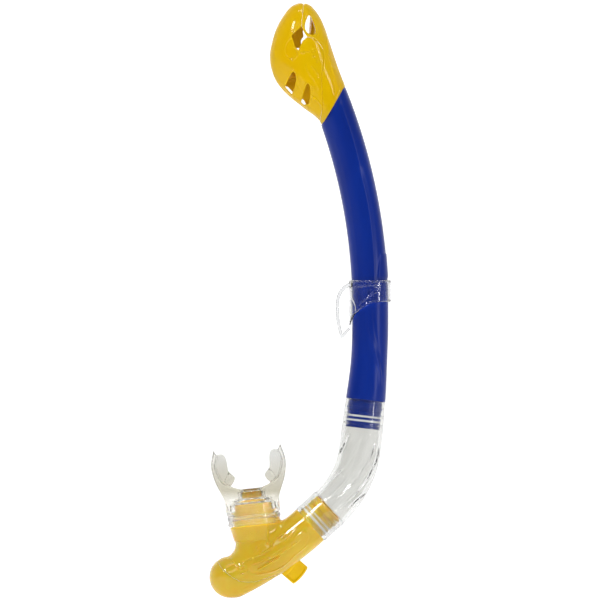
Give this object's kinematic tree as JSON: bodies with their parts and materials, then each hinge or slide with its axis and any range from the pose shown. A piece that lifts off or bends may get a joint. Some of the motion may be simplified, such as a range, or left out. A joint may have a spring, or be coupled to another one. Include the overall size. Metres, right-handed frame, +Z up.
{
  "type": "snorkel tube",
  "caption": "Curved dry-top snorkel: float-valve top, fluted tube, strap clip, clear elbow, purge housing and silicone mouthpiece.",
  "frame": {"origin": "middle of the strap clip's band, on the axis it turns about", "axes": "+Z up along the tube towards the dry top; the tube bends in the XZ plane with the mouthpiece towards -X; +Y towards the side with the purge valve"},
  "size_m": [0.1312, 0.0412, 0.4284],
  "materials": {
    "tube_pvc": "glossy moulded",
    "dry_top_plastic": "glossy moulded",
    "cover_plastic": "glossy moulded",
    "housing_pvc": "translucent, glossy",
    "clear_pvc": "clear, glossy",
    "clear_plastic": "clear, glossy",
    "mouth_silicone": "clear silicone, satin",
    "soft_silicone": "soft silicone, satin",
    "seal_rubber": "matte",
    "float_plastic": "satin",
    "pin_plastic": "satin"
  },
  "bodies": {
    "tube": {"barrel": "tube_pvc", "dry_top_base": "dry_top_plastic", "dry_top_cover": "dry_top_plastic", "dry_top_seal": "seal_rubber", "valve_seat": "dry_top_plastic", "pivot_pin": "pin_plastic", "upper_joint_seals": "soft_silicone"},
    "float_valve": {"float_arm": "clear_plastic", "float": "float_plastic", "seal_disc": "soft_silicone"},
    "clip": {"strap_clip": "clear_plastic"},
    "elbow": {"elbow": "clear_pvc"},
    "lower_housing": {"housing": "housing_pvc", "toe_cap": "housing_pvc", "purge_seat": "housing_pvc", "purge_cover": "cover_plastic", "lower_joint_seals": "soft_silicone"},
    "purge_valve": {"purge_flap": "soft_silicone"},
    "bite": {"mouthpiece": "mouth_silicone", "mouthpiece_tie": "clear_plastic"}
  },
  "joints": [
    {"name": "float_pivot", "type": "hinge", "parent": "tube", "child": "float_valve", "pos_m": [-0.05192, 0, 0.16952], "axis": [0, 1, 0], "range_deg": [0, 21.8]},
    {"name": "clip_swivel", "type": "hinge", "parent": "tube", "child": "clip", "pos_m": [0, 0, 0], "axis": [0, 0, 1], "range_deg": [-45, 45]},
    {"name": "elbow_swivel", "type": "hinge", "parent": "tube", "child": "elbow", "pos_m": [-0.00315, 0, -0.07853], "axis": [0.1132, 0, 0.9936], "range_deg": [-60, 60]},
    {"name": "housing_swivel", "type": "hinge", "parent": "elbow", "child": "lower_housing", "pos_m": [-0.04295, 0, -0.16827], "axis": [0.7431, 0, 0.6691], "range_deg": [-30, 30]},
    {"name": "bite_swivel", "type": "hinge", "parent": "lower_housing", "child": "bite", "pos_m": [-0.0801, 0, -0.1952], "axis": [-0.1045, 0, 0.9945], "range_deg": [-30, 30]},
    {"name": "purge_lift", "type": "slide", "parent": "lower_housing", "child": "purge_valve", "axis": [0, 1, 0], "range_m": [0, 0.0012], "stiffness_N_per_m": 20}
  ]
}
